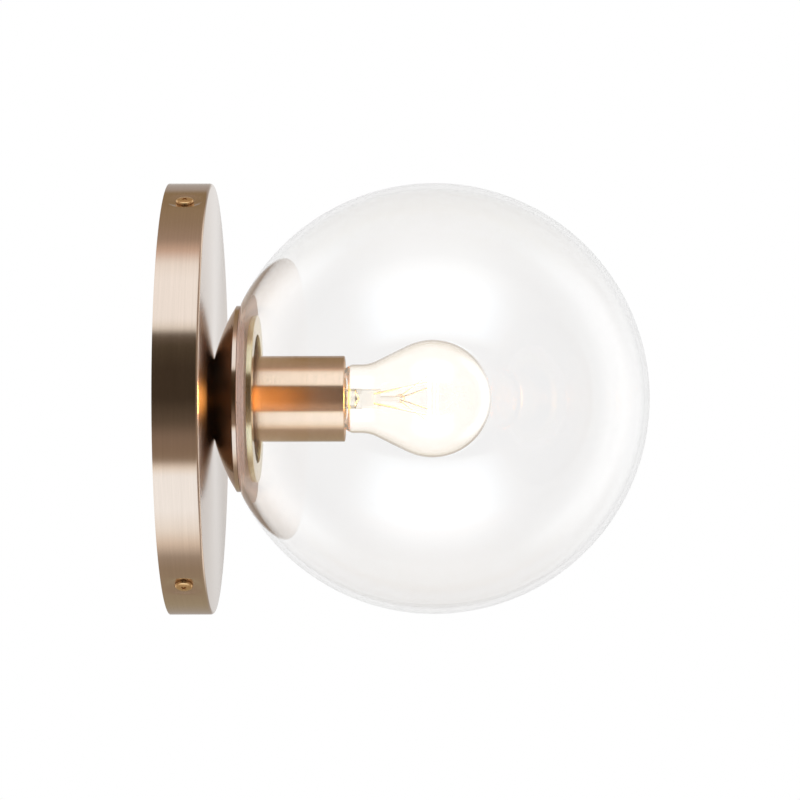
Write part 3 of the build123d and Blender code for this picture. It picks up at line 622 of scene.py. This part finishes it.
# ---------------------------------------------------------------- Globe
# The globe is free-blown soda-lime glass, so its wall waves very slightly. Its opening is cut and
# ground on a wheel, which leaves a frosted flat edge.
globe_wall = 2.5 * mm
globe_arc_steps = 96
globe_turn_steps = 256
glass_ior = 1.5


def clear_glass(name, colour, wave, depth, roughness=0.0):
    """Clear glass whose surface rises and falls slowly over this distance."""
    material = bpy.data.materials.new(name)
    material.use_nodes = True
    tree = material.node_tree
    tree.nodes.clear()
    place = add_node(tree, "ShaderNodeTexCoord").outputs["Object"]
    swell = add_node(tree, "ShaderNodeTexNoise", Vector=place, Scale=1 / wave, Detail=1.0)
    bump = add_node(tree, "ShaderNodeBump", Strength=1.0, Distance=depth, Height=swell.outputs["Fac"])
    surface = add_node(
        tree, "ShaderNodeBsdfPrincipled", Base_Color=linear(colour), Roughness=roughness, IOR=glass_ior,
        Transmission_Weight=1.0, Normal=bump.outputs[0],
    )
    add_node(tree, "ShaderNodeOutputMaterial", Surface=surface.outputs[0])
    return material


# Blown glass bends what is behind it unevenly by a very little, and its ground edge is frosted.
globe_glass = clear_glass("blown_soda_lime_glass", "#FFFFFF", 60 * mm, 0.01 * mm)
ground_glass = clear_glass("wheel_ground_glass", "#F4EEEA", 0.5 * mm, 0.05 * mm, 0.35)

globe_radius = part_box("globe_glass")[1].x
glass_edge, globe_front = out_span("globe_glass")
globe_centre = 0, globe_front - globe_radius
globe_inner = globe_radius - globe_wall
outer_start = -asin((globe_centre[1] - glass_edge) / globe_radius) * 180 / pi
inner_start = -asin((globe_centre[1] - glass_edge) / globe_inner) * 180 / pi
inner_side = arc(globe_centre, globe_inner, 90, inner_start, globe_arc_steps)
outer_side = arc(globe_centre, globe_radius, outer_start, 90, globe_arc_steps)
bm = turned(inner_side + outer_side, closed=False, steps=globe_turn_steps)
for face in bm.faces:
    if all(abs(v.co.y + glass_edge) < 0.01 * mm for v in face.verts):
        face.material_index = 1
mesh_object("globe_shell", bm, "globe", "globe_glass", "clear_globe", globe_glass, ground_glass)

# ---------------------------------------------------------------- Silicone
# Clear silicone bonds the collar in the glass, and a flat ring of it lies between the ground edge
# and the dish. Trapped air shows as rows of small dots.


def silicone(name, colour, roughness, ridge_width):
    """Cured translucent silicone, a little milky, with small trapped bubbles."""
    material = bpy.data.materials.new(name)
    material.use_nodes = True
    tree = material.node_tree
    tree.nodes.clear()
    place = add_node(tree, "ShaderNodeTexCoord").outputs["Object"]
    bubbles = add_node(tree, "ShaderNodeTexVoronoi", Vector=place, Scale=1 / (1.6 * mm))
    rim = add_node(tree, "ShaderNodeMapRange", _0=bubbles.outputs["Distance"], _1=0.12, _2=0.3)
    base = linear(colour)
    dark = [c * 0.5 for c in base[:3]] + [1.0]
    shade = add_node(tree, "ShaderNodeMix", {"data_type": "RGBA"}, Factor=rim.outputs[0], _6=dark, _7=base)
    ridges = add_node(
        tree, "ShaderNodeTexWave", {"wave_type": "RINGS", "rings_direction": "Y"}, Vector=place,
        Scale=0.314 / ridge_width, Distortion=1.5, Detail=1.0, Detail_Scale=1.0,
    )
    height = add_node(
        tree, "ShaderNodeMath", {"operation": "ADD"}, _0=rim.outputs[0], _1=ridges.outputs["Fac"]
    )
    bump = add_node(tree, "ShaderNodeBump", Strength=0.5, Distance=0.15 * mm, Height=height.outputs[0])
    surface = add_node(
        tree, "ShaderNodeBsdfPrincipled", Base_Color=shade.outputs[2], Roughness=roughness, IOR=1.41,
        Transmission_Weight=0.15, Normal=bump.outputs[0],
    )
    add_node(tree, "ShaderNodeOutputMaterial", Surface=surface.outputs[0])
    return material


# Cured silicone: milky and faintly pink, with low ridges left by the nozzle and dark specks of air.
clear_silicone = silicone("cured_clear_silicone", "#D8C6BD", 0.3, 1.3 * mm)
gasket_inner = 40.3 * mm
gasket_back, gasket_front = out_span("globe_gasket")
gasket_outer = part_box("globe_gasket")[1].x
bm = turned(
    [(gasket_inner, gasket_back), (gasket_outer, gasket_back)]
    + [(gasket_outer, gasket_front), (gasket_inner, gasket_front)]
)
mesh_object("gasket_ring", bm, "gasket", "globe_gasket", "clear_silicone", clear_silicone)

bond_back = out_span("collar_bond")[0]
bond_fill_radius = rim_bore_radius - 0.1 * mm
bead_front = flange_back - 0.4 * mm
bead_lap = 1.5 * mm
bead_hollow = 0.5 * mm
bead_gap = 0.03 * mm
bead_radius = globe_inner - bead_gap
bead_start = -asin((globe_centre[1] - glass_edge) / bead_radius) * 180 / pi
bead_end = -asin((globe_centre[1] - bead_front) / bead_radius) * 180 / pi
bm = turned(
    [(collar_tube_radius, bond_back), (bond_fill_radius, bond_back), (bond_fill_radius, glass_edge)]
    + arc(globe_centre, bead_radius, bead_start, bead_end, 8)
    + [(collar_tube_radius + bead_lap, bead_front - bead_hollow), (collar_tube_radius, bead_front)]
)
mesh_object("bond_bead", bm, "globe", "collar_bond", "clear_silicone", clear_silicone)

# ---------------------------------------------------------------- Lamp envelope
# The lamp's envelope is thin soda-lime glass, blown in a mould to a 55 mm ball on a tapering neck.
# Lit, its glass is given a painted warm white glow, brightest near the filament.
envelope_wall = 0.8 * mm
envelope_cone = 26.57
neck_radius = 16.0 * mm
throat_bend = 20.8 * mm
shoulder_bend = 5.0 * mm
shoulder_share = 0.314
shoulder_ease = 1.2 * mm
tail_inset = 2.15 * mm
crimp_gap = 0.2 * mm
# The lamp's glass gets a painted glow of this strength, which fades out by this distance from the ball's
# centre.
painted_glass_glow = 0.068
painted_glow_reach = 52 * mm


def rounded(corners, bends, steps=10):
    """The corners, with each inner one turned into an arc of its own bend."""
    points = [Vector(corners[0])]
    for before, corner, after, bend in zip(corners, corners[1:], corners[2:], bends):
        corner = Vector(corner)
        back = (Vector(before) - corner).normalized()
        on = (Vector(after) - corner).normalized()
        half = back.angle(on) / 2
        centre = corner + (back + on).normalized() * bend / sin(half)
        start = corner + back * bend / tan(half) - centre
        sweep = start.angle_signed(corner + on * bend / tan(half) - centre)
        for i in range(steps + 1):
            points.append(centre + Matrix.Rotation(-sweep * i / steps, 2) @ start)
    return [tuple(point) for point in points + [Vector(corners[-1])]]


envelope_tail, lamp_tip = out_span("lamp_envelope")
lamp_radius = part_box("lamp_envelope")[1].x
lamp_centre = lamp_tip - lamp_radius
base_front = out_span("lamp_base")[1]
base_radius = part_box("lamp_base")[1].x
tail_radius = base_radius - tail_inset


def envelope_side(inset):
    """The envelope's outline from its tip down to the tail, moved in by the wall for its inside."""
    ball = lamp_radius - inset
    neck = neck_radius - inset
    lean = radians(envelope_cone)
    leave = ball * cos(lean), lamp_centre - ball * sin(lean)
    neck_out = leave[1] - (leave[0] - neck) / tan(lean)
    shoulder = base_front + shoulder_share * (neck_out - base_front)
    foot = base_radius - crimp_gap - inset, base_front + inset
    corners = [leave, (neck, neck_out), (neck, shoulder), foot]
    limit = 0.45 * (neck_out - shoulder) / tan(lean / 2)
    dome = arc((0, lamp_centre), ball, 90, -envelope_cone, 48)
    throat = rounded(corners, [min(throat_bend + inset, limit), shoulder_bend - inset - shoulder_ease])
    tail = tail_radius - inset
    return dome + throat[1:] + [(tail, base_front + inset), (tail, envelope_tail)]


def glass_with_painted_glow(name, colour, glow, warmth, centre, reach):
    """Thin clear glass with a painted glow, brightest near its filament, in place of the lit lamp's haze."""
    material = clear_glass(name, colour, 30 * mm, 0.01 * mm)
    tree = material.node_tree
    surface = next(node for node in tree.nodes if node.type == "BSDF_PRINCIPLED")
    place = add_node(tree, "ShaderNodeTexCoord").outputs["Object"]
    gap = add_node(tree, "ShaderNodeVectorMath", {"operation": "DISTANCE"}, _0=place, _1=centre)
    # Painted glow: full strength near the centre, none beyond the reach.
    near = add_node(
        tree, "ShaderNodeMapRange", {"interpolation_type": "SMOOTHSTEP"}, _0=gap.outputs["Value"], _1=reach,
        _2=0.75 * reach, _3=0.0, _4=glow,
    )
    surface.inputs["Emission Color"].default_value = linear(warmth)
    tree.links.new(near.outputs[0], surface.inputs["Emission Strength"])
    return material


# The lit lamp's glass holds a painted warm white glow.
lamp_glass = glass_with_painted_glow(
    "moulded_lamp_glass_painted_glow", "#FFFFFF", painted_glass_glow, "#FFEFD6", (0, -lamp_centre, 0), painted_glow_reach
)
bm = turned(envelope_side(0) + envelope_side(envelope_wall)[::-1], closed=False, steps=160)
mesh_object("lamp_bulb", bm, "lamp", "lamp_envelope", "lamp_glass", lamp_glass)

# ---------------------------------------------------------------- Lamp base
# The base is thin brass strip rolled to a screw thread and crimped on the glass. A black glass
# button closes it round the soldered centre contact.
thread_pitch = 3.62 * mm
thread_depth = 1.0 * mm
base_collar = 3.6 * mm
base_sheet = 0.5 * mm
thread_start = 0.4 * mm

thread_foot = out_span("lamp_base")[0]
base_length = base_front - thread_foot


def thread_radius(height, turn):
    """The radius of the rolled thread at this height above its foot and this turn, from 0 to 1."""
    run_out = min(1, max(0, (base_length - base_collar - height) / thread_pitch))
    run_in = min(1, max(0, (height - thread_start) / thread_pitch))
    wave = 0.5 + 0.5 * cos(2 * pi * (height / thread_pitch + turn))
    return base_radius - thread_depth * (1 - wave * run_in) * run_out


bm = bmesh.new()
bmesh.ops.create_grid(bm, x_segments=96, y_segments=84, size=0.5)
for vert in bm.verts:
    turn = vert.co.x + 0.5
    height = (vert.co.y + 0.5) * base_length
    radius = thread_radius(height, turn)
    angle = 2 * pi * turn
    vert.co = radius * cos(angle), -(thread_foot + height), radius * sin(angle)
bmesh.ops.remove_doubles(bm, verts=bm.verts, dist=0.001 * mm)
bmesh.ops.recalc_face_normals(bm, faces=bm.faces)
outwards = [face.calc_center_median() * Vector((1, 0, 1)) for face in bm.faces]
if sum(face.normal.dot(way_out) for face, way_out in zip(bm.faces, outwards)) < 0:
    bmesh.ops.reverse_faces(bm, faces=bm.faces)
bmesh.ops.solidify(bm, geom=bm.faces, thickness=base_sheet)
# Thin rolled brass, a little dull from the rollers.
base_brass = polished_metal("rolled_base_brass", "#CDB98A", 0.3, 0.5 * mm, 0.01 * mm)
mesh_object("lamp_screw", bm, "lamp", "lamp_base", "lamp_base_metal", base_brass)

# ---------------------------------------------------------------- Stem, wires and filament
# The stem is a glass tube pressed flat round two lead-in wires, with a rod that ends in a button.
# Fine molybdenum hooks from the button hold a coiled tungsten filament, bent into most of a ring.
filament_radius = 10.5 * mm
filament_arc = 270.0
filament_turns = 88
coil_radius = 0.5 * mm
coil_wire_radius = 0.13 * mm
filament_glow = 14.0


def smooth_copy(name, node, body, slot, *materials):
    """A copy of a CAD node whose loose triangles are joined, so that its curved faces shade smoothly."""
    bm = bmesh.new()
    bm.from_mesh(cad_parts[node].data)
    bmesh.ops.remove_doubles(bm, verts=bm.verts, dist=0.002 * mm)
    for face in bm.faces:
        face.material_index = 0
    return mesh_object(name, bm, body, node, slot, *materials)


# Pressed glass: clear, but wavy where the press closed it.
stem_glass = clear_glass("pressed_lead_glass", "#FBFAF6", 3 * mm, 0.15 * mm)
smooth_copy("lamp_mount", "lamp_stem", "lamp", "stem_glass", stem_glass)

# Drawn nickel wire: grey, with a soft shine.
lead_wire = polished_metal("nickel_lead_wire", "#B9B2A6", 0.25, 0.3 * mm, 0.004 * mm)
smooth_copy("lead_in_pair", "lamp_lead_ins", "lamp", "wire_metal", lead_wire)
smooth_copy("filament_hooks", "lamp_supports", "lamp", "wire_metal", lead_wire)

# White-hot tungsten glows a warm yellow, unevenly along its coil.
glow = bpy.data.materials.new("glowing_tungsten")
glow.use_nodes = True
tree = glow.node_tree
tree.nodes.clear()
place = add_node(tree, "ShaderNodeTexCoord").outputs["Object"]
grain = add_node(tree, "ShaderNodeTexNoise", Vector=place, Scale=1 / (2 * mm))
hot = add_node(
    tree, "ShaderNodeMix", {"data_type": "RGBA"}, Factor=grain.outputs["Fac"], _6=linear("#FFC26B"),
    _7=linear("#FFE0A8"),
)
surface = add_node(
    tree, "ShaderNodeBsdfPrincipled", Base_Color=linear("#6E6A66"), Metallic=1.0, Roughness=0.5,
    Emission_Color=hot.outputs[2], Emission_Strength=filament_glow,
)
add_node(tree, "ShaderNodeOutputMaterial", Surface=surface.outputs[0])
glow.cycles.emission_sampling = "NONE"

filament_back, filament_front = out_span("lamp_filament")
filament_out = (filament_back + filament_front) / 2
line = bpy.data.curves.new("filament_coil", "CURVE")
line.dimensions = "3D"
line.bevel_depth = coil_wire_radius
line.bevel_resolution = 1
points_per_turn = 10
count = filament_turns * points_per_turn
spline = line.splines.new("POLY")
spline.points.add(count)
for i, point in enumerate(spline.points):
    share = i / count
    along = radians((360 - filament_arc) / 2 + filament_arc * share)
    coil = 2 * pi * filament_turns * share
    reach = filament_radius + coil_radius * cos(coil)
    point.co = (reach * cos(along), -(filament_out + coil_radius * sin(coil)), reach * sin(along), 1)
filament = bpy.data.objects.new("filament_coil", line)
bpy.context.scene.collection.objects.link(filament)
line.materials.append(glow)
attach(filament, "lamp")
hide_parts("lamp_filament")

# The lamp's own light, in watts on each group of pieces that it reaches straight or by way of the
# glass, which would stop it altogether here. The dish, the sleeve and the collar shade the canopy, and
# the canopy's face shades its inside.
lamp_colour = linear("#FFB25E")[:3]
in_the_way = ["canopy_pan", "dish_cup", "sleeve_cup", "collar_ring"]
lamp_light = {
    "wall_glow": (1.60, ["canopy_pan"], in_the_way),
    "spilt_glow": (
        0.06, ["canopy_pan", "dish_cup", "collar_ring", "bond_bead", "gasket_ring"], ["canopy_pan"]
    ),
    "foot_glow": (4.0, ["lamp_mount", "lead_in_pair", "filament_hooks"], []),
    "base_glow": (1.0, ["lamp_screw"], []),
    "mouth_glow": (10.0, ["sleeve_cup"], []),
}
for name, (watts, lit, shading) in lamp_light.items():
    bulb = bpy.data.lights.new(name, "POINT")
    bulb.energy = watts
    bulb.color = lamp_colour
    bulb.shadow_soft_size = filament_radius
    bulb.use_shadow = bool(shading)
    light = bpy.data.objects.new(name, bulb)
    bpy.context.scene.collection.objects.link(light)
    light.location = (0, -filament_out, 0)
    light.light_linking.receiver_collection = bpy.data.collections.new(name + "_on")
    light.light_linking.blocker_collection = bpy.data.collections.new(name + "_shade")
    for group, pieces in (("receiver", lit), ("blocker", shading)):
        for piece in pieces:
            getattr(light.light_linking, group + "_collection").objects.link(bpy.data.objects[piece])

# The globe's wall throws some of it back on the sleeve, as a warm patch between the reflections of
# the strip lights.
sleeve_only = bpy.data.collections.new("lit_sleeve")
sleeve_only.objects.link(bpy.data.objects["sleeve_cup"])
glint_light = bpy.data.lights.new("glint_light", "AREA")
glint_light.shape = "ELLIPSE"
glint_light.size = 150 * mm
glint_light.size_y = 10 * mm
glint_light.energy = 0.14
glint_light.color = linear("#FFA545")[:3]
glint_light.use_shadow = False
light = bpy.data.objects.new("glint_light", glint_light)
bpy.context.scene.collection.objects.link(light)
light.matrix_world = Matrix.Translation((-120 * mm, -22 * mm, 0)) @ Matrix.Rotation(radians(-90), 4, "Y")
light.visible_camera = False
light.visible_transmission = False
light.light_linking.receiver_collection = sleeve_only

# The room's light reaches the silicone through the globe's glass, which would stop it here, so three
# small lights round the axis stand in for it.
room_glow_watts = 1.5
room_glow_reach = 250 * mm
room_glow_out = -150 * mm
silicone_only = bpy.data.collections.new("lit_silicone")
for piece in ("bond_bead", "gasket_ring"):
    silicone_only.objects.link(bpy.data.objects[piece])
for angle in (0, 120, 240):
    bulb = bpy.data.lights.new("room_glow", "POINT")
    bulb.energy = room_glow_watts
    bulb.shadow_soft_size = 20 * mm
    bulb.use_shadow = False
    light = bpy.data.objects.new("room_glow", bulb)
    bpy.context.scene.collection.objects.link(light)
    light.matrix_world = radial_place(angle, room_glow_out) @ Matrix.Translation((0, 0, room_glow_reach))
    light.visible_camera = False
    light.visible_glossy = False
    light.visible_transmission = False
    light.light_linking.receiver_collection = silicone_only

# ---------------------------------------------------------------- Lampholder, plate and wiring
# These pieces keep their CAD shapes: a zinc-plated plate and hardware, a phenolic lampholder with a
# ceramic insert, brass contacts, a nylon terminal block and PVC-covered wires.


def moulded(name, colour, roughness, grain_size, depth, spread=0.12):
    """Moulded plastic, fired ceramic or extruded PVC: an even colour with a fine surface grain."""
    material = bpy.data.materials.new(name)
    material.use_nodes = True
    tree = material.node_tree
    tree.nodes.clear()
    place = add_node(tree, "ShaderNodeTexCoord").outputs["Object"]
    grain = add_node(tree, "ShaderNodeTexNoise", Vector=place, Scale=1 / grain_size, Detail=5.0)
    base = linear(colour)
    dark = [c * (1 - spread) for c in base[:3]] + [1.0]
    shade = add_node(
        tree, "ShaderNodeMix", {"data_type": "RGBA"}, Factor=grain.outputs["Fac"], _6=dark, _7=base
    )
    bump = add_node(tree, "ShaderNodeBump", Strength=0.4, Distance=depth, Height=grain.outputs["Fac"])
    surface = add_node(
        tree, "ShaderNodeBsdfPrincipled", Base_Color=shade.outputs[2], Roughness=roughness,
        Normal=bump.outputs[0],
    )
    add_node(tree, "ShaderNodeOutputMaterial", Surface=surface.outputs[0])
    return material


# Zinc and tin plate are pale grey with a fine spangle, the contacts are bright yellow and brown metal,
# phenolic and the lamp's black glass shine, steatite is matt, and nylon and PVC are smooth and even.
zinc = polished_metal("bright_zinc_plate", "#C9CCCB", 0.34, 1.2 * mm, 0.02 * mm)
yellow_brass = polished_metal("turned_yellow_brass", "#D8BC74", 0.26, 0.5 * mm, 0.01 * mm)
tinned = polished_metal("tinned_sheet", "#D0D1CF", 0.3, 0.6 * mm, 0.01 * mm)
spring_bronze = polished_metal("rolled_spring_bronze", "#D2A876", 0.3, 0.4 * mm, 0.01 * mm)
solder = polished_metal("dull_solder", "#B8B9B8", 0.45, 0.8 * mm, 0.05 * mm)
green_screw = polished_metal("green_passivated_steel", "#5F8F5C", 0.35, 0.6 * mm, 0.01 * mm)
phenolic = moulded("black_phenolic", "#1E1D1C", 0.4, 0.8 * mm, 0.02 * mm)
ceramic = moulded("fired_steatite", "#EDEAE0", 0.55, 0.5 * mm, 0.03 * mm, 0.06)
nylon = moulded("moulded_white_nylon", "#EDECE6", 0.42, 1.0 * mm, 0.02 * mm, 0.05)
black_glass = moulded("black_vitrite_glass", "#0B0B0D", 0.12, 2.0 * mm, 0.02 * mm)
brown_pvc = moulded("brown_pvc", "#6B4329", 0.38, 0.6 * mm, 0.01 * mm)
blue_pvc = moulded("blue_pvc", "#2B5A9E", 0.38, 0.6 * mm, 0.01 * mm)


def striped_pvc(name, ground, stripe):
    """Green earth wire with a yellow stripe along it, on the side that faces the room."""
    material = moulded(name, ground, 0.38, 0.6 * mm, 0.01 * mm)
    tree = material.node_tree
    surface = next(node for node in tree.nodes if node.type == "BSDF_PRINCIPLED")
    facing = add_node(tree, "ShaderNodeNewGeometry").outputs["Normal"]
    facing = add_node(tree, "ShaderNodeSeparateXYZ", _0=facing)
    edge = add_node(tree, "ShaderNodeMapRange", _0=facing.outputs["Y"], _1=0.32, _2=0.38)
    plain = surface.inputs["Base Color"].links[0].from_socket
    both = add_node(
        tree, "ShaderNodeMix", {"data_type": "RGBA"}, Factor=edge.outputs[0], _6=plain, _7=linear(stripe)
    )
    tree.links.new(both.outputs[2], surface.inputs["Base Color"])
    return material


earth_pvc = striped_pvc("green_and_yellow_pvc", "#2F8A3E", "#E8CF3A")
finishes = {
    "mounting_plate": zinc,
    "earth_screw": green_screw,
    "earth_tag": tinned,
    "threaded_nipple": zinc,
    "nipple_nuts": zinc,
    "lock_washer": zinc,
    "nipple_bush": phenolic,
    "holder_cap": phenolic,
    "holder_skirt": phenolic,
    "holder_insert": ceramic,
    "holder_terminals": yellow_brass,
    "contact_rivets": yellow_brass,
    "centre_contact": spring_bronze,
    "shell_contact": spring_bronze,
    "screw_shell": tinned,
    "lamp_insulator": black_glass,
    "lamp_contact": solder,
    "terminal_block": nylon,
    "terminal_sleeves": yellow_brass,
    "terminal_screws": zinc,
    "block_fixing_screw": zinc,
    "live_wire": brown_pvc,
    "neutral_wire": blue_pvc,
    "earth_wire": earth_pvc,
}
for name, finish in finishes.items():
    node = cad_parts[name]
    for holder in node.material_slots:
        holder.link = "OBJECT"
        holder.material = finish
